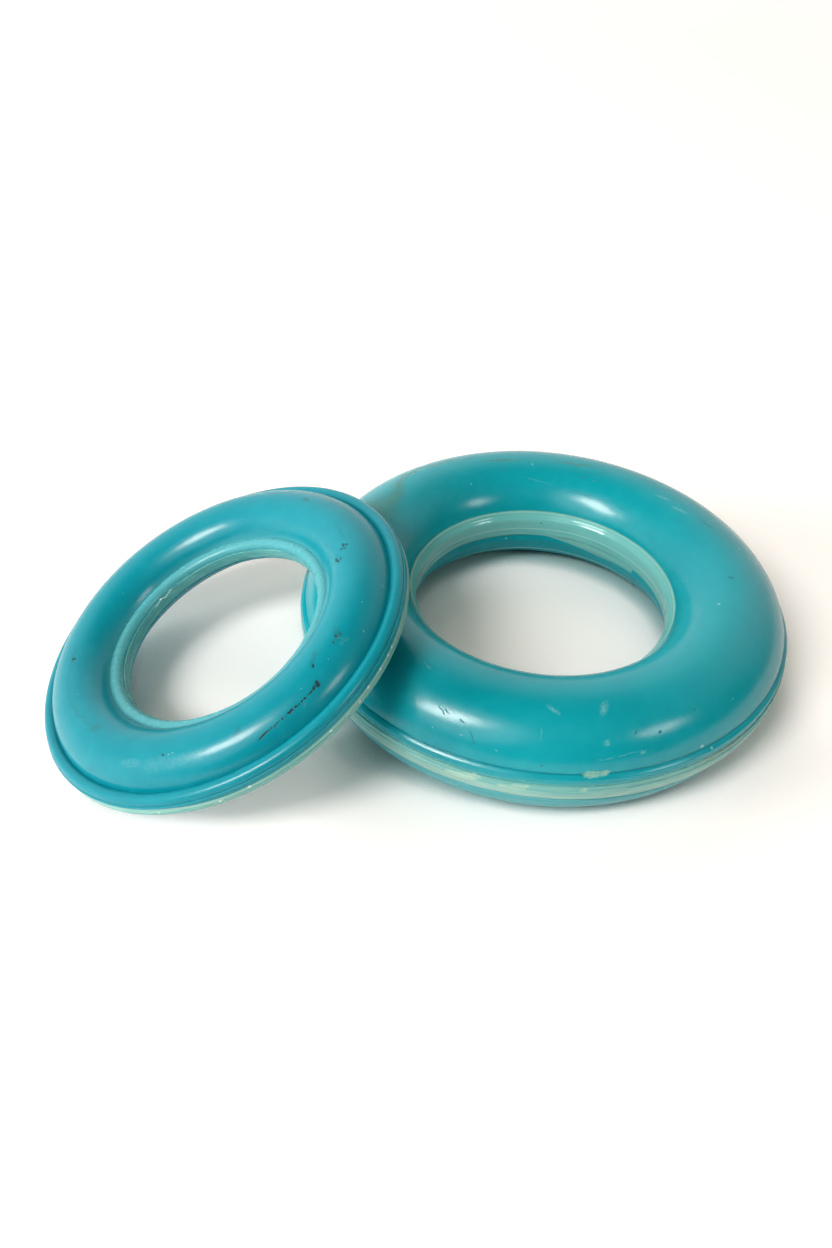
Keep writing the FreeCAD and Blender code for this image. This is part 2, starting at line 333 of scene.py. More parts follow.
def shaken(place, amount, pitch):
    """The place moved about by cloudy noise of that pitch: what is drawn there gets a ragged edge."""
    cloud = place.node("ShaderNodeTexNoise", None, {
        "Vector": place, "Scale": 1 / pitch, "Detail": 2.0}, output=1)
    centred = cloud.node("ShaderNodeVectorMath", {"operation": "SUBTRACT"}, {0: cloud, 1: (0.5, 0.5, 0.5)})
    return centred.node("ShaderNodeVectorMath", {"operation": "MULTIPLY_ADD"}, {
        0: centred, 1: (amount, amount, amount), 2: place})


def oval(spot, long, wide, heading=0.0):
    """A mark's oval: its place, its turn and its half sizes. Its long side lies along the ring, turned by
    the heading towards the ring's top; under the skin it is as deep as a millimetre, or as it is long."""
    place, out = spot
    along = UP.cross(out).normalized()
    across = out.cross(along)
    heading = math.radians(heading)
    first = along * math.cos(heading) + across * math.sin(heading)
    second = across * math.cos(heading) - along * math.sin(heading)
    turn = Matrix((first, second, out)).transposed()
    return place, turn.to_euler(), (long, wide, max(long, 1.0))


def marked(place, ovals, soft=0.5):
    """1 inside any of the ovals and 0 outside. Round each a ball-shaped gradient falls from 1 in its
    middle by way of a half at its edge, the highest counts, and the edge is soft over that share."""
    nearest = None
    for middle, turn, sizes in ovals:
        inside = place.node("ShaderNodeMapping", {"vector_type": "TEXTURE"}, {
            "Vector": place, "Location": middle, "Rotation": turn, "Scale": [2 * size for size in sizes]})
        ball = inside.node("ShaderNodeTexGradient", {"gradient_type": "SPHERICAL"}, {
            "Vector": inside}, output=1)
        nearest = ball if nearest is None else ball.math("MAXIMUM", nearest, ball)
    return between(nearest, 0.5 - soft / 4, 0.5 + soft / 4)


LARGE = Form(
    wall={1: 42.5, -1: mounts["large_bore"]["dims"]["r_mm"]},
    thickness=20.1, reach={1: 0.55, -1: 0.15}, cover=3.0, step=0.2,
    band={1: 0.9, -1: 1.15}, land={1: 1.1, -1: 1.75}, crease={1: 2.7, -1: 4.0},
    groove=[[42.3, 0.0], [42.5, 0.15]], rest=9.900, bare={(1, -1), (-1, 1)},
)
LARGE_SEAT = Matrix.Identity(4)

# The hole's ridges, as height, size, width above and width below: the bead's roll, and fine cut lines
BORE_RIDGES = ((2.46, 0.25, 0.38, 1.60), (3.10, 0.045, 0.12, 0.30), (3.74, 0.07, 0.10, 0.10),
               (0.45, 0.05, 0.09, 0.09), (-0.10, 0.04, 0.07, 0.07), (-0.62, 0.03, 0.08, 0.08))
WANDER_REACH = 3.0
SPREAD, SPREAD_ANGLE, SPREAD_WIDTH = 0.30, 3, 38
SPREAD_FROM, SPREAD_FADE = LARGE.wall[1] - 1.5, 3


def large_wander(angle, height):
    """How far the seam strays up or down: slow waves round the rim, fading away from the mid-plane."""
    waves = 0.10 * np.sin(2 * angle + 0.6) + 0.06 * np.sin(5 * angle + 2.1) + 0.03 * np.sin(11 * angle)
    return waves * bell(height, WANDER_REACH)


def unevenness(angle, radius, height, size):
    """A hand-trimmed, hand-moulded face: slow swells in height along the section's normal."""
    swell = np.sin(3 * angle + 0.35 * height) + 0.6 * np.sin(7 * angle + 1.3 + 0.5 * radius)
    return size * (swell + 0.35 * np.sin(19 * angle + 0.8 * height + 0.3 * radius))


def rim_spread(angle, radius):
    """The large ring isn't quite round: its rim stands out a little on the right."""
    near_rim = bell(np.minimum(radius - SPREAD_FROM, 0), SPREAD_FADE)
    return SPREAD * bell(np.degrees(angle) - SPREAD_ANGLE, SPREAD_WIDTH) * near_rim


def large_core_dress(angle, radius, height, out):
    """The core's edge: slight swells, the rim's spread, and the seam's wander."""
    lift = unevenness(angle, radius, height, 0.012)
    return (out[..., 0] * lift + rim_spread(angle, radius),
            out[..., 1] * lift + large_wander(angle, height))


PALE_GREEN = srgb(98, 168, 163)
PALE_MIST = srgb(124, 184, 175)
PALE_DEEP = srgb(72, 148, 147)
CREAM = srgb(164, 196, 181)
CREAM_PATCH = srgb(180, 206, 184)
STREAK_TEAL = srgb(76, 154, 156)
HOLE_GREEN = srgb(107, 187, 183)
RIDGE_HIGHLIGHT_PALE = srgb(176, 212, 200)
OLIVE = srgb(84, 112, 94)
TAN = srgb(146, 132, 102)
DOT_GREY = srgb(40, 70, 66)
CORE_RELIEF = 0.00005


def pale_rubber(place):
    """Pale core rubber, in streaks of two greens that run round the ring: its colour, and the cloudy values
    of the streaks and of the finer cut lines."""
    streaks = noise(place, 0.12, 2.6, 4.0)
    fine = noise(place, 0.30, 9.0, 3.0, 7.0)
    cloud = noise(place, 0.12, 0.12, 3.0, 3.0)
    colour = blend(between(streaks * 0.6 + cloud * 0.4, 0.40, 0.60), PALE_GREEN, PALE_MIST)
    return colour, streaks, fine


def mould(node, body, section, turns, seat, dress):
    """A ring piece that stands for its CAD node and moves with that node's body."""
    piece = ring_mesh(node + "_moulded", section, turns, seat, dress)
    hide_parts(node)
    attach(piece, body)
    return piece


large_section = ridged(eased(LARGE.core(), 0.05), LARGE, -1, BORE_RIDGES)
large_core = mould("large_core", "large_ring", thinned(large_section, longest=1.6, sharpest=0.13),
                   angles(400), LARGE_SEAT, large_core_dress)
shader, place = material_of(large_core)
colour, streaks, fine = pale_rubber(place)
radius, height = radius_and_height(place)
at_rim = between(radius, LARGE.circle - 1, LARGE.circle + 1)
in_hole = 1 - at_rim

# Trimming bared the cream heart of the band: below the middle all round, and in patches above it, which
# are rows of ring angle, height, half length, half width and heading
BARED = (0.10, -1.10)
STREAKED = (-2.0, -0.5)
CREAM_PATCHES = [(-98.9, 0.15, 2.2, 0.55, 8), (-100.6, -0.35, 2.5, 0.5, 0), (-88.6, 0.15, 1.2, 0.5, 0),
                 (-87.0, 0.45, 0.35, 0.45, 0), (-90.0, -0.3, 2.2, 0.4, 0), (-75.5, 0.2, 0.7, 0.4, 0),
                 (-75.4, 0.5, 0.25, 0.3, 0), (-97.7, 0.6, 0.4, 0.5, 0)]
bared = between(height + (streaks - 0.5) * 2.8 + (fine - 0.5) * 1.4, *BARED)
patches = marked(shaken(place, 0.5, 0.7), [oval(LARGE.wall_place(1, angle, at), long, wide, heading)
                                           for angle, at, long, wide, heading in CREAM_PATCHES], 0.3)
cut_lines = between(fine, 0.44, 0.60)
cream = bared * (0.9 - cut_lines * 0.5) * at_rim
streak_lines = between(noise(place, 0.07, 2.3, 2.0, 5.0), 0.45, 0.60) * at_rim * between(height, *STREAKED)
colour = blend(streak_lines * 0.55, colour, STREAK_TEAL)
colour = blend(cream * (1 - streak_lines * 0.5) * 0.9, colour, CREAM)
colour = blend(patches * at_rim * (0.65 - cut_lines * 0.3), colour, CREAM_PATCH)

# The band is tanned over a stretch of its length, and has painted shade towards its lower edge, by the
# crease
TAN_HEIGHTS, TAN_START, TAN_END = (0.15, 0.75), (-54.0, -46.0), (-30.0, -40.0)
LOWER_SHADE_HEIGHTS = (-1.70, -2.35)
degrees = ring_angle(place)
tan = between(height, *TAN_HEIGHTS) * between(degrees, *TAN_START) * between(degrees, *TAN_END) * at_rim
colour = blend(tan * 0.45, colour, TAN)
painted_lower_shade = between(height, *LOWER_SHADE_HEIGHTS) * at_rim
colour = blend(painted_lower_shade * 0.75, colour, PALE_DEEP)

# In the hole the wall is greener, and deeper in colour below its lower ridge, with a painted highlight as a
# pale line on two of the ridges, dirt in the seam, dirt and painted shade along the upper edge, and one
# dark dot
LOWER = (0.40, 0.10)
HIGHLIGHT_LINE_HEIGHTS, HIGHLIGHT_LINE_EDGE = (3.74, 0.47), (0.16, 0.02)
EDGE_DIRT_AND_SHADE = (3.82, 4.0)
SEAM, SEAM_DIRT = -1.10, (0.22, 0.02)
DOT_PLACE, DOT_SIZE = LARGE.wall_place(-1, 95.2, 2.0), 0.15
colour = blend(in_hole * 0.75, colour, HOLE_GREEN)
lower = between(height, *LOWER) * in_hole
colour = blend(lower * (0.10 + 0.4 * between(streaks, 0.4, 0.6)), colour, PALE_DEEP)
painted_ridge_highlight = sum((line_at(height, at, *HIGHLIGHT_LINE_EDGE) for at in HIGHLIGHT_LINE_HEIGHTS), start=0.0)
colour = blend(painted_ridge_highlight * in_hole * 0.45, colour, RIDGE_HIGHLIGHT_PALE)
edge_dirt_and_shade = between(height, *EDGE_DIRT_AND_SHADE) * in_hole
seam_dirt = line_at(height, SEAM, *SEAM_DIRT) * between(streaks, 0.3, 0.6) * in_hole
colour = blend(edge_dirt_and_shade * 0.35 + seam_dirt * 0.75, colour, OLIVE)
dot = marked(place, [oval(DOT_PLACE, DOT_SIZE, DOT_SIZE)])
colour = blend(dot * 0.8, colour, DOT_GREY)
rough = 0.04 + at_rim * (0.27 + fine * 0.15)
finish(shader, colour, rough, (fine * 0.4 + streaks * 0.4) * (0.10 + at_rim * 0.90), CORE_RELIEF)


# The large ring's upper cover: teal rubber moulded over the core. It laps down over the rim's bead to the
# seam, where it is trimmed so thin that the pale core shines through. In the hole it stops at the crease.

TEAL = (0.002, 0.300, 0.352)
TEAL_LIGHT = (0.006, 0.326, 0.378)
TEAL_DEEP = (0.0, 0.278, 0.330)
DUST = srgb(104, 172, 170)
INK = srgb(8, 50, 56)
CHALK = srgb(166, 214, 208)
CREASE_SHADE = srgb(6, 92, 104)
DIRT_AND_SHADE_OLIVE = srgb(76, 112, 92)
CHIP_PALE = srgb(150, 192, 170)
COVER_RELIEF = 0.00004

# The underside's own form, below that height: how much the face stands out, the slope of the face where it
# does so most and how wide that is, and the same for the ring angle, in degrees
UNDERSIDE = -2.5
FULLER = (0.42, -38, 24, -82, 42)
HOLLOWER = (-0.28, 38, 22, 62, 48)


def cover_dress(angle, radius, height, out):
    """A cover's face: slight swells, the rim's spread, and on the lip the same wander as the core's seam.
    The lower one is fuller in front, under the rim, and hollower at the back of the hole."""
    lift = unevenness(angle, radius, height, 0.02)
    size, slope, slope_width, middle, width = FULLER
    outward_slope = np.degrees(np.arctan2(out[..., 1], out[..., 0]))
    under_rim = bell(outward_slope - slope, slope_width)
    lift = lift + size * under_rim * bell(np.degrees(angle) - middle, width) * (height < UNDERSIDE)
    size, slope, slope_width, middle, width = HOLLOWER
    inward_slope = np.abs(np.degrees(np.arctan2(out[..., 1], -out[..., 0])))
    in_hole = bell(inward_slope - slope, slope_width) * (out[..., 0] < 0)
    lift = lift + size * in_hole * bell(np.degrees(angle) - middle, width) * (height < UNDERSIDE)
    return (out[..., 0] * lift + rim_spread(angle, radius),
            out[..., 1] * lift + large_wander(angle, height))


def teal_rubber(place, batch=(1.0, 1.0, 1.0)):
    """Satin teal rubber: its cloudy colour, its roughness, and the grain in the skin of the moulding. A
    batch has its own share of each colour."""
    cloud = noise(place, 0.05, 0.05, 2.0)
    mottle = noise(place, 0.45, 0.45, 4.0, 5.0)
    grain = noise(place, 5.0, 5.0, 2.0, 9.0)
    deep, middle, light = (np.multiply(shade, batch) for shade in (TEAL_DEEP, TEAL, TEAL_LIGHT))
    colour = blend(between(cloud, 0.35, 0.65), deep, middle)
    colour = blend(between(mottle, 0.40, 0.75) * 0.5, colour, light)
    specks = place.node("ShaderNodeTexVoronoi", None, {"Vector": place, "Scale": 0.16, "Randomness": 1.0})
    dust = between(specks, 0.022, 0.010)
    colour = blend(dust * 0.40, colour, DUST)
    return colour, 0.15 + mottle * 0.12 + dust * 0.3, grain * 0.25 + mottle * 0.35


def crown_ovals(form, marks):
    """Ovals on a crown, from rows of ring angle, angle over the crown, half length, half width, heading."""
    return [oval(form.crown_place(angle, over), long, wide, heading)
            for angle, over, long, wide, heading in marks]


def trail(form, stops, count, long, wide, seed):
    """A broken line over a crown: short dashes at uneven steps between the stops, a little off the line."""
    chance = np.random.default_rng(seed)
    along = (np.arange(count) + chance.uniform(0.1, 0.9, count)) / count * (len(stops) - 1)
    marks = []
    for at in along:
        angle, over = (np.interp(at, range(len(stops)), column) for column in zip(*stops))
        marks.append((angle, over + chance.normal(0, 0.5), long * chance.uniform(0.5, 1.3),
                      wide * chance.uniform(0.5, 1.4), chance.uniform(-15, 25)))
    return crown_ovals(form, marks)


# Rows as in the hole: the rolled edge of the rim's bead, a fine line, and the crease cut beside the crown
RIM_RIDGES = ((2.12, 0.20, 0.34, 0.34), (1.45, 0.03, 0.15, 0.15), (2.78, -0.13, 0.10, 0.10))
large_section = ridged(eased(LARGE.shell(1), 0.07), LARGE, 1, RIM_RIDGES)
large_upper = mould("large_upper_cover", "large_ring", thinned(large_section, longest=0.8, sharpest=0.18),
                    angles(600), LARGE_SEAT, cover_dress)
shader, place = material_of(large_upper)
colour, rough, relief = teal_rubber(place)
ragged = shaken(place, 0.6, 0.8)

# Towards the seam the cover thins out, and streaks of the pale core shine through; its crease has painted
# shade
THIN = (1.75, 0.75)
CREASE, CREASE_LINE = 2.80, (0.20, 0.06)
radius, height = radius_and_height(place)
at_rim = between(radius, LARGE.circle - 1, LARGE.circle + 1)
streaks = noise(place, 0.14, 3.2, 4.0, 2.0)
thin = between(height + (streaks - 0.5) * 1.1, *THIN) * at_rim
colour = blend(thin * 0.85, colour, PALE_GREEN)
crease = line_at(height, CREASE, *CREASE_LINE) * at_rim
colour = blend(crease * 0.45, colour, CREASE_SHADE)

# Old dirt on the back, with painted shade where the small ring shades its back-left, dust smears and pale
# scuffs, dark nicks, white specks, and a chip at the crease
DIRT_AND_SHADE = [(166.0, 86.0, 3.6, 3.4, 0), (160.5, 93.0, 2.2, 1.6, 30), (155.5, 91.0, 2.0, 1.3, 20),
        (151.0, 82.0, 1.8, 1.0, 40), (147.0, 74.0, 2.4, 0.7, 30), (141.0, 69.5, 2.6, 0.6, 15),
        (134.5, 72.0, 2.6, 0.5, -15), (127.0, 75.0, 2.8, 0.4, -10), (112.0, 93.0, 3.0, 0.3, -5),
        (85.0, 92.0, 3.0, 0.3, 0)]
# The first, broad ovals are painted shade of the small ring; the narrow streaks after them are old dirt
dirt_and_shade = marked(shaken(place, 1.3, 2.6), crown_ovals(LARGE, DIRT_AND_SHADE), 1.9)
colour = blend(dirt_and_shade * 0.58, colour, DIRT_AND_SHADE_OLIVE)
SCUFFS = [(-82.7, 72.2, 1.0, 0.30, -40), (-70.5, 73.7, 1.0, 0.5, 60), (-71.1, 42.8, 0.4, 0.4, 0),
          (-71.5, 28.6, 1.2, 0.05, 6), (-67.0, 31.0, 1.6, 0.06, 6), (-63.3, 30.2, 0.5, 0.25, 10),
          (-85.3, 50.1, 0.9, 0.05, 88), (-116.4, 80.0, 1.0, 0.08, -17), (50.9, 95.8, 1.2, 0.3, 12),
          (42.4, 97.1, 1.4, 0.3, 15), (99.0, 123.0, 2.2, 0.045, -14), (-150.0, 50.0, 1.8, 0.12, 10),
          (150.0, 35.0, 1.0, 0.3, 40), (178.0, 60.0, 1.4, 0.4, -30)]
patchy = between(noise(place, 2.2, 2.2, 3.0, 6.0), 0.34, 0.62)
scuffs = marked(ragged, crown_ovals(LARGE, SCUFFS), 1.4)
colour = blend(scuffs * (0.08 + patchy * 0.22), colour, CHALK)
NICKS = [(-108.4, 50.6, 0.38, 0.07, -55), (-107.5, 48.4, 0.5, 0.08, -30), (-106.6, 50.0, 0.4, 0.06, -20),
         (-102.6, 46.1, 0.45, 0.10, -30), (-58.8, 44.5, 0.2, 0.16, 0), (-48.5, 53.0, 0.35, 0.10, 30),
         (-64.3, 48.4, 0.35, 0.09, 40), (-99.8, 37.0, 0.75, 0.07, -65), (-98.9, 31.4, 0.3, 0.14, -80),
         (-84.6, 21.4, 0.16, 0.14, 0), (111.0, 108.1, 0.5, 0.10, 0), (82.9, 100.0, 0.4, 0.1, 0),
         (81.0, 111.1, 0.45, 0.12, 10), (76.5, 111.4, 0.35, 0.10, 0), (61.3, 102.0, 0.15, 0.12, 0),
         (44.8, 87.8, 0.2, 0.16, 0), (4.6, 94.1, 0.6, 0.16, 70), (32.1, 87.6, 1.6, 0.12, 15),
         (-20.0, 40.0, 0.5, 0.1, 40), (170.0, 60.0, 0.4, 0.15, 20)]
nicks = marked(ragged, crown_ovals(LARGE, NICKS), 1.0)
HAIR = [(86.6, 130.8), (75.6, 131.5), (60.4, 132.1)]
hair = marked(place, trail(LARGE, HAIR, count=7, long=1.1, wide=0.05, seed=4), 1.0)
colour = blend(nicks * (0.26 + patchy * 0.30) + hair * 0.4, colour, INK)
SPECKS = [(-48.8, 17.4, 0.30, 0.26, 0), (-46.4, 12.0, 0.20, 0.16, 0), (-9.2, 105.8, 0.22, 0.22, 0),
          (-37.4, 43.0, 0.14, 0.08, 50), (126.5, 120.0, 0.13, 0.13, 0), (100.3, 100.6, 0.12, 0.25, 0),
          (-102.0, 34.3, 0.24, 0.05, 0), (-108.4, 31.3, 0.08, 0.08, 0), (-94.1, 29.3, 0.2, 0.05, -20),
          (20.0, 70.0, 0.15, 0.12, 0), (-160.0, 75.0, 0.16, 0.1, 30)]
specks = marked(place, crown_ovals(LARGE, SPECKS), 0.8)
colour = blend(specks * 0.6, colour, CHALK)
CHIP = [(-74.6, 15.0, 0.95, 0.52, 0), (-73.2, 15.0, 1.4, 0.46, 0), (-71.9, 15.3, 1.0, 0.42, 6)]
chip = marked(shaken(place, 0.45, 0.45), crown_ovals(LARGE, CHIP), 0.8)
colour = blend(chip * (0.5 + patchy * 0.35), colour, CHIP_PALE)
rough = rough + nicks * 0.35 + chip * 0.2 + thin * 0.10 + dirt_and_shade * 0.15
finish(shader, colour, rough, relief - nicks * 1.2 - chip * 1.5 + streaks * thin, COVER_RELIEF)


# The large ring's lower cover: the same rubber, lapped up inside the hole and cut back at the rim. The
# ring stands on a narrow land worn flat under its crown.

FILM_GREEN = srgb(116, 176, 168)
EDGE_PALE = srgb(150, 206, 200)
PAINTED_REFLECTION_GREY = srgb(124, 184, 184)
UNDERSIDE_GLOSS = 0.06
large_lower = mould("large_lower_cover", "large_ring",
                    thinned(eased(LARGE.shell(-1), 0.07), longest=0.8, sharpest=0.18),
                    angles(600), LARGE_SEAT, cover_dress)
shader, place = material_of(large_lower)
shader.inputs["Specular IOR Level"].default_value = UNDERSIDE_GLOSS
colour, rough, relief = teal_rubber(place)
radius, height = radius_and_height(place)
in_hole = between(radius, LARGE.circle, LARGE.circle - 4)

# A film of the core's rubber ran down over the lip here, deepest in the middle of its length
FILM_START, FILM_DEEPEST, FILM_END, FILM_DEPTH = 93.5, 67.0, 43.0, 2.0
FILM_EDGE = (-1.22, -1.12)
FLECK_PLACE = LARGE.wall_place(-1, 111.7, -2.05)
degrees = ring_angle(place)
run = between(degrees, FILM_START, FILM_DEEPEST, "LINEAR") * between(degrees, FILM_END, FILM_END + 1.5)
run = run * (0.55 + 0.45 * between(degrees, FILM_END, FILM_DEEPEST))
film_height = height + run * FILM_DEPTH + (noise(place, 0.5, 0.5, 3.0, 4.0) - 0.5) * 0.3
film = between(film_height, *FILM_EDGE) * in_hole
streaks = noise(place, 0.12, 2.6, 4.0)
colour = blend(film * (0.70 + 0.25 * between(streaks, 0.35, 0.65)), colour, FILM_GREEN)
fleck = marked(place, [oval(FLECK_PLACE, 0.2, 0.15)], 0.6)
colour = blend(fleck * 0.8, colour, CHALK)

# A pale line where the hole's wall turns under, a painted reflection in streaks on the rim's side, and wear
# where the ring stands
TURN_UNDER, TURN_LINE = -6.1, (0.45, 0.10)
WORN = (-9.3, -9.8)
under_edge = line_at(height, TURN_UNDER, *TURN_LINE) * in_hole
colour = blend(under_edge * 0.55, colour, EDGE_PALE)
painted_reflection = between(radius, LARGE.circle + 4, LARGE.circle + 7)
colour = blend(painted_reflection * (0.35 + 0.3 * between(streaks, 0.35, 0.65)), colour, PAINTED_REFLECTION_GREY)
worn = between(height, *WORN)
colour = blend(worn * 0.35, colour, DUST)
finish(shader, colour, rough + worn * 0.3, relief, COVER_RELIEF)


# The small ring's core: the same pale rubber. The covers lap it on all four sides, so that it shows only
# as a narrow strip round the rim and as the wall of the hole. The ring leans on the large one's flank.

SMALL = Form(
    wall={1: 32.4, -1: mounts["small_bore"]["dims"]["r_mm"]},
    thickness=11.2, reach={1: 2.05, -1: 1.8}, cover=1.8, step=0.2,
    band={1: 0.9, -1: 0.85}, land={1: 1.0, -1: 0.95}, crease={1: 1.5, -1: 1.8},
    groove=[[32.15, 0.0], [32.4, 0.15]], rest=5.468, bare=set(),
)
small_axis = Vector(mounts["small_bore"]["axis"])
SMALL_SEAT = (Matrix.Translation(mounts["small_bore"]["pos_m"])
              @ UP.rotation_difference(small_axis).to_matrix().to_4x4())

# This ring's teal was mixed a little darker. Its parting line strayed below the middle of the rim, so the
# first of the rim's ridges fills the groove in the middle, and the second cuts the line
SMALL_BATCH = (1.0, 0.83, 0.88)
PARTING_LINE = -0.60
SMALL_BORE_RIDGES = ((0.55, 0.03, 0.08, 0.08), (0.15, 0.04, 0.08, 0.08), (-0.30, 0.03, 0.07, 0.07))
SMALL_RIM_RIDGES = ((0.0, 0.22, 0.085, 0.085), (PARTING_LINE, -0.12, 0.06, 0.06))
STRIP_MINT = srgb(150, 214, 202)
STRIP_GREY = srgb(118, 168, 168)
PARTING_DARK = srgb(70, 130, 124)
SMALL_HOLE = srgb(84, 166, 168)
SMALL_HOLE_DEEP = srgb(40, 118, 124)
BUBBLE_GLINT_WHITE = srgb(232, 246, 240)
TEAR_WHITE = srgb(236, 246, 238)
SMALL_CORE_GLOSS = 0.25


def small_dress(angle, radius, height, out):
    """The small ring's faces: slight swells, and a seam that strays a little."""
    lift = unevenness(angle, radius, height, 0.012)
    waves = 0.06 * np.sin(3 * angle + 1.0) + 0.03 * np.sin(8 * angle)
    return out[..., 0] * lift, out[..., 1] * lift + waves * bell(height, 1.6)


small_section = ridged(eased(SMALL.core(), 0.04), SMALL, -1, SMALL_BORE_RIDGES)
small_section = thinned(ridged(small_section, SMALL, 1, SMALL_RIM_RIDGES), longest=1.2, sharpest=0.22)
small_core = mould("small_core", "small_ring", small_section, angles(560), SMALL_SEAT, small_dress)
shader, place = material_of(small_core)
shader.inputs["Specular IOR Level"].default_value = SMALL_CORE_GLOSS
colour, streaks, fine = pale_rubber(place)
radius, height = radius_and_height(place)
at_rim = between(radius, SMALL.circle - 1, SMALL.circle + 1)
in_hole = 1 - at_rim

# The strip round the rim: pale above the parting line and greyer below. A teal haze of the cover's rubber
# lies over its upper part, deepest towards the left
HAZED, HAZE_DROP, HAZE_TURN = (-0.05, 0.20), 0.5, (-70.0, -92.0)
GREYER = (-0.62, -0.74)
colour = blend(at_rim * 0.5, colour, STRIP_MINT)
colour = blend(between(streaks, 0.44, 0.60) * at_rim * 0.45, colour, CREAM)
hazed = between(height - HAZE_DROP * between(ring_angle(place), *HAZE_TURN), *HAZED) * at_rim
colour = blend(hazed * 0.95, colour, np.multiply(TEAL, SMALL_BATCH))
greyer = between(height, *GREYER) * at_rim
colour = blend(greyer * 0.55, colour, STRIP_GREY)
parting = line_at(height, PARTING_LINE, 0.15, 0.03) * at_rim
colour = blend(parting * (0.15 + 0.4 * between(fine, 0.4, 0.6)), colour, PARTING_DARK)
colour = blend(in_hole * 0.55, colour, SMALL_HOLE)
colour = blend(in_hole * between(fine, 0.44, 0.60) * 0.40, colour, SMALL_HOLE_DEEP)

# Small bubbles were cut open on the rim, by ring angle and height, as bumps with painted white glints, and
# the hole's edge is torn in one place
BUBBLES = [(-90.2, -0.39), (-72.7, -0.54), (-64.2, -0.09), (-40.0, -0.32), (-29.6, -0.6), (-25.5, -0.12),
           (-19.6, -0.12), (-15.1, -0.14), (-12.6, -0.08), (30.0, 0.3), (95.0, -0.2), (170.0, 0.25)]
bubbles_with_glints = marked(place, [oval(SMALL.wall_place(1, angle, at), 0.26, 0.20, 10)
                         for angle, at in BUBBLES], 0.5)
colour = blend(bubbles_with_glints * 0.9, colour, BUBBLE_GLINT_WHITE)
TEARS = [(151.5, 0.62, 12), (147.5, 0.72, -20), (143.5, 0.66, 15)]
tear = marked(shaken(place, 0.3, 0.5), [oval(SMALL.wall_place(-1, angle, at), 0.9, 0.07, heading)
                                        for angle, at, heading in TEARS], 0.8)
colour = blend(tear * 0.9, colour, TEAR_WHITE)
rough = 0.18 + at_rim * (0.10 + fine * 0.15) * (1 - hazed) - bubbles_with_glints * 0.1
finish(shader, colour, rough, (fine * 0.4 + streaks * 0.4) * (1 - hazed) + bubbles_with_glints * 1.5, CORE_RELIEF)


# The small ring's covers: teal rubber, moulded over the core from both sides. Their beads stand out as a
# flange round the rim and a lip round the hole, each past a crease beside the crown.

LIP_PALE = srgb(112, 186, 188)
MARK_BLACK = srgb(4, 24, 28)
SMUDGE_GREY = srgb(40, 84, 84)
SMALL_GLOSS = 0.42
LIP, FLANGE = (20.2, 19.2), (29.6, 30.6)
small_upper = mould("small_upper_cover", "small_ring",
                    thinned(eased(SMALL.shell(1), 0.05), longest=0.6, sharpest=0.18),
                    angles(600), SMALL_SEAT, small_dress)
shader, place = material_of(small_upper)
shader.inputs["Specular IOR Level"].default_value = SMALL_GLOSS
colour, rough, relief = teal_rubber(place, SMALL_BATCH)
ragged = shaken(place, 0.5, 0.6)
radius, height = radius_and_height(place)
lip = between(radius, *LIP)
colour = blend(lip * 0.5, colour, LIP_PALE)

# Marks of use: a broken black line with a blot at its end, and two clusters of dots
LINE = [(-55.8, 42.2), (-53.0, 43.5), (-44.8, 46.3), (-37.5, 47.2)]
line = marked(ragged, trail(SMALL, LINE, count=26, long=0.20, wide=0.12, seed=7))
BLOTS = [(-35.3, 48.4, 0.50, 0.24, 30), (-33.9, 46.6, 0.34, 0.34, -30), (-33.6, 50.2, 0.38, 0.24, 60),
         (-36.8, 47.4, 0.36, 0.14, 10), (-44.3, 46.4, 0.5, 0.2, 25), (-30.4, 71.8, 0.34, 0.17, 35),
         (-164.9, 98.0, 0.20, 0.38, 0), (-164.6, 97.2, 0.14, 0.2, 0), (61.3, 77.5, 0.25, 0.2, 20),
         (31.4, 121.8, 0.13, 0.13, 0), (-85.5, 71.6, 0.18, 0.15, 0), (-18.2, 70.5, 0.35, 0.16, 50),
         (-16.9, 66.5, 0.25, 0.12, 20), (-20.5, 68.0, 0.3, 0.1, 80)]
CLUSTERS = ((22.4, 93.0), (18.6, 108.0))
chance = np.random.default_rng(11)
for angle, over in CLUSTERS:
    for shift in chance.normal(0, 1, (7, 2)):
        BLOTS.append((angle + 1.4 * shift[0], over + 3.5 * shift[1], chance.uniform(0.16, 0.38),
                      chance.uniform(0.11, 0.18), chance.uniform(0, 180)))
blots = marked(ragged, crown_ovals(SMALL, BLOTS), 0.6)
colour = blend(line.math("MAXIMUM", line * 0.95, blots * 0.85), colour, MARK_BLACK)

# Smudges, two faint arcs along the crown, pale scuffs and specks
SMUDGES = [(-60.5, 66.0, 0.9, 0.3, 30), (-72.0, 58.0, 0.4, 0.2, 0), (-120.9, 96.8, 1.0, 0.6, 30),
           (-115.0, 36.2, 1.1, 0.12, 0), (60.8, 80.6, 1.0, 0.4, 0), (-17.5, 69.0, 1.2, 0.6, 40),
           (-28.0, 80.0, 1.2, 0.3, 20)]
smudges = marked(shaken(place, 1.2, 0.9), crown_ovals(SMALL, SMUDGES), 1.2)
LEFT_ARC = [(-168.0, 97.0), (-164.6, 94.4), (-149.2, 89.6), (-135.4, 91.3), (-126.0, 95.0)]
RIGHT_ARC = [(40.0, 86.0), (32.7, 87.8), (26.0, 89.0)]
left_arc = marked(ragged, trail(SMALL, LEFT_ARC, count=16, long=1.3, wide=0.16, seed=3), 1.2)
right_arc = marked(ragged, trail(SMALL, RIGHT_ARC, count=5, long=0.9, wide=0.14, seed=5), 1.2)
colour = blend(smudges * 0.35 + left_arc * 0.28 + right_arc * 0.3, colour, SMUDGE_GREY)
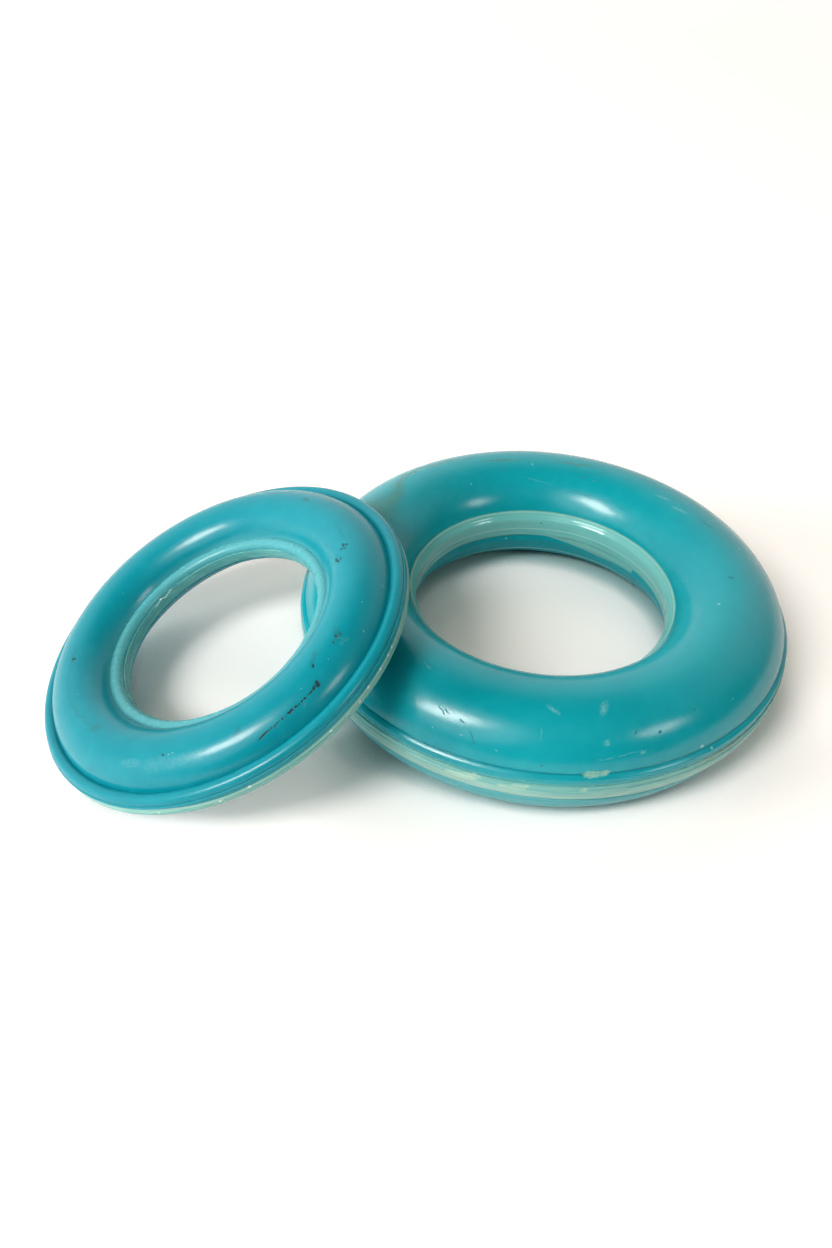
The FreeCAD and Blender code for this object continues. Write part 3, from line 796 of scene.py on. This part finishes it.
SMALL_SCUFFS = [(-18.2, 61.5, 0.25, 0.7, 15), (-17.6, 53.8, 0.5, 0.25, 60), (-19.6, 56.5, 0.3, 0.3, 0),
                (-86.5, 58.4, 3.4, 1.1, 5), (-76.0, 60.0, 3.0, 0.8, 0), (-97.0, 62.0, 1.8, 0.6, 0),
                (-40.5, 39.5, 0.5, 0.15, 60), (146.0, 64.0, 0.8, 0.1, 50), (-62.0, 12.0, 1.2, 0.08, 0)]
scuffs = marked(shaken(place, 1.0, 0.7), crown_ovals(SMALL, SMALL_SCUFFS), 1.0)
patchy = between(noise(place, 2.2, 2.2, 3.0, 6.0), 0.34, 0.62)
colour = blend(scuffs * (0.03 + patchy * 0.05), colour, CHALK)
SMALL_SPECKS = [(-3.7, 55.7, 0.12, 0.06, 0), (-12.7, 37.0, 0.22, 0.05, 60), (-83.5, 71.0, 0.10, 0.08, 0),
                (-82.2, 72.4, 0.10, 0.08, 0), (-26.0, 60.0, 0.08, 0.05, 0), (-38.0, 60.5, 0.08, 0.05, 0),
                (5.0, 30.0, 0.3, 0.04, 50), (100.0, 60.0, 0.12, 0.1, 0)]
specks = marked(place, crown_ovals(SMALL, SMALL_SPECKS), 0.8)
colour = blend(specks * 0.55, colour, CHALK)
rough = rough + between(radius, *FLANGE) * 0.03 + line * 0.25 + blots * 0.25 + lip * 0.06
finish(shader, colour, rough, relief * (1 - lip * 0.85) - line * 0.6 - blots * 0.6, COVER_RELIEF)

# The lower cover's lip at the rim is trimmed thin, so that the pale core shines through
TRIMMED, TRIMMED_HEIGHTS = (31.2, 31.9), (-2.2, -1.6)
small_lower = mould("small_lower_cover", "small_ring",
                    thinned(eased(SMALL.shell(-1), 0.05), longest=0.6, sharpest=0.18),
                    angles(600), SMALL_SEAT, small_dress)
shader, place = material_of(small_lower)
colour, rough, relief = teal_rubber(place, SMALL_BATCH)
radius, height = radius_and_height(place)
trimmed = between(radius, *TRIMMED) * between(height, *TRIMMED_HEIGHTS)
colour = blend(trimmed * 0.85, colour, PALE_MIST)
finish(shader, colour, rough, relief, COVER_RELIEF)


# The stage: a wide sheet of white paper, flat under the rings. To the camera it fades, well away from
# them, to the same white as the background, so that no edge shows.

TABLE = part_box("large_lower_cover")[0].z
PAPER_REACH = 3.0
PAPER_WHITE, PAPER_SEEN = (0.9, 0.9, 0.9), (1.12, 1.07, 1.05)
NOOK_DEPTH, NOOK_SHADE, NOOK = 0.030, (0.70, 0.52, 0.52), (0.39, 0.20)
FADE_START, FADE_END = 0.40, 0.90
BLANK_WHITE = (1, 1, 1, 1)
paper_mesh = bpy.data.meshes.new("paper")
paper_corners = [(x * PAPER_REACH, y * PAPER_REACH, TABLE) for x, y in ((-1, -1), (1, -1), (1, 1), (-1, 1))]
paper_mesh.from_pydata(paper_corners, [], [(0, 1, 2, 3)])
paper = bpy.data.objects.new("paper", paper_mesh)
bpy.context.scene.collection.objects.link(paper)

# The paper is whiter to the camera than to the light, and has painted shade in the nooks close under the
# rings
paper_material = bpy.data.materials.new("paper")
paper_material.use_nodes = True
paper_material.cycles.emission_sampling = "NONE"
paper_mesh.materials.append(paper_material)
paper_tree = paper_material.node_tree
paper_tree.nodes.remove(paper_tree.nodes["Principled BSDF"])
paper_end = Value(paper_tree.nodes["Material Output"].inputs["Surface"])
seen = paper_end.node("ShaderNodeLightPath", output="Is Camera Ray")
open_air = paper_end.node("ShaderNodeAmbientOcclusion", {"samples": 16}, {
    "Distance": NOOK_DEPTH}, output="AO")
painted_nook_shade = between(open_air, *NOOK)
lit, bleached = (paper_end.node("ShaderNodeBsdfDiffuse", None, {
    "Color": blend(painted_nook_shade, colour, np.multiply(colour, np.subtract(1, NOOK_SHADE)))})
    for colour in (PAPER_WHITE, PAPER_SEEN))
spot = paper_end.node("ShaderNodeTexCoord", output="Object")
away = spot.node("ShaderNodeVectorMath", {"operation": "LENGTH"}, {0: spot}, output=1)
blank = paper_end.node("ShaderNodeEmission", None, {"Color": BLANK_WHITE, "Strength": 1.0})
faded = paper_end.node("ShaderNodeMixShader", None, {
    0: between(away, FADE_START, FADE_END), 1: bleached, 2: blank})
mixed = paper_end.node("ShaderNodeMixShader", None, {0: seen, 1: lit, 2: faded})
paper_tree.links.new(mixed.socket, paper_end.socket)


# The light: a key lamp with a wide soft surround, three lamps on the left and behind that stand for light
# off the studio's walls, a small one on the right, and a dim warm room.

LAMP_DISTANCE = 2.4


def softbox(name, bearing, elevation, across, level, colour, slant=0.0, glints=True):
    """An oval lamp seen from the rings at that bearing (from +Y towards +X) and height in degrees, with its
    long side turned up from level by the slant. A white surface that faces it looks as bright as its level:
    the power is level times pi squared times distance squared. One without glints shows in no highlight."""
    lamp = bpy.data.lights.new(name, "AREA")
    lamp.shape = "ELLIPSE"
    lamp.size, lamp.size_y = across
    lamp.energy = level * math.pi ** 2 * LAMP_DISTANCE ** 2
    lamp.color = colour
    box = bpy.data.objects.new(name, lamp)
    bpy.context.scene.collection.objects.link(box)
    bearing, elevation = math.radians(bearing), math.radians(elevation)
    toward = Vector((math.sin(bearing) * math.cos(elevation), math.cos(bearing) * math.cos(elevation),
                     math.sin(elevation)))
    box.location = toward * LAMP_DISTANCE
    turned = toward.to_track_quat("Z", "Y").to_matrix() @ Matrix.Rotation(math.radians(slant), 3, "Z")
    box.rotation_euler = turned.to_euler()
    box.visible_glossy = glints


softbox("key", -143, 44.5, (1.10, 0.60), 0.60, (1.0, 1.0, 0.98), slant=43)
softbox("key_surround", -150, 42, (2.3, 2.3), 0.28, (1.0, 1.0, 1.0))
softbox("left", -112, 12.5, (1.02, 1.02), 0.78, (1.0, 1.0, 1.0), glints=False)
softbox("back_low", -22, 9, (0.76, 0.76), 0.48, (1.0, 1.0, 1.0), glints=False)
softbox("back_high", -22, 45, (1.3, 1.3), 0.15, (1.0, 0.95, 0.85), glints=False)
softbox("right", 114, 34, (0.68, 0.52), 0.12, (1.0, 0.98, 0.95))

# The room is dim and warm. What shines shows its pale walls, behind the rings and to their left, up to the
# darker ceiling; the camera sees white.
ROOM_COLOUR, ROOM_LEVEL = (1, 0.93, 0.73, 1), 0.16
WALL, WALL_WIDTH, CEILING = Vector((-0.74, 0.62, 0.26)), (-0.65, 0.30), (1.0, 0.55)
room = bpy.data.worlds.new("room")
bpy.context.scene.world = room
room.use_nodes = True
room_tree = room.node_tree
dim = room_tree.nodes["Background"]
dim.inputs["Color"].default_value = ROOM_COLOUR
dim.inputs["Strength"].default_value = ROOM_LEVEL
room_end = Value(room_tree.nodes["World Output"].inputs["Surface"])
toward = room_end.node("ShaderNodeTexCoord", output="Generated")
facing_wall = toward.node("ShaderNodeVectorMath", {"operation": "DOT_PRODUCT"}, {
    0: toward, 1: WALL}, output=1)
steepness = parts_of(toward)[2]
wall_light = 0.02 + 0.85 * between(facing_wall, *WALL_WIDTH) * between(steepness, *CEILING)
wall = room_end.node("ShaderNodeBackground", None, {"Color": BLANK_WHITE, "Strength": wall_light})
backdrop = room_end.node("ShaderNodeBackground", None, {"Color": BLANK_WHITE, "Strength": 1.0})
shining = room_end.node("ShaderNodeMixShader", None, {
    0: room_end.node("ShaderNodeLightPath", output="Is Glossy Ray"), 1: Value(dim.outputs[0]), 2: wall})
view = room_end.node("ShaderNodeMixShader", None, {
    0: room_end.node("ShaderNodeLightPath", output="Is Camera Ray"), 1: shining, 2: backdrop})
room_tree.links.new(view.socket, room_end.socket)


# The camera stands in front of the rings, above them and a little turned to the left.

YAW, PITCH, ROLL = math.radians(-9.09), math.radians(41.67), math.radians(2.70)
STAND = (0, -0.13865, 0.11567)
FOCAL_PIXELS, LONG_SIDE_PIXELS, SENSOR = 1000, 1248, 36
camera_data = bpy.data.cameras.new("camera")
camera_data.sensor_width = SENSOR
camera_data.lens = SENSOR * FOCAL_PIXELS / LONG_SIDE_PIXELS
camera_data.clip_start = 0.01
camera = bpy.data.objects.new("camera", camera_data)
bpy.context.scene.collection.objects.link(camera)
ahead = Vector((math.sin(YAW) * math.cos(PITCH), math.cos(YAW) * math.cos(PITCH), -math.sin(PITCH)))
rightward = Vector((math.cos(YAW), -math.sin(YAW), 0))
upright = rightward.cross(ahead)
side = rightward * math.cos(ROLL) + upright * math.sin(ROLL)
top = upright * math.cos(ROLL) - rightward * math.sin(ROLL)
facing = Matrix((side, top, -ahead)).transposed().to_4x4()
camera.matrix_world = Matrix.Translation(STAND) @ facing
bpy.context.scene.camera = camera

bpy.context.scene.view_settings.view_transform = "Standard"
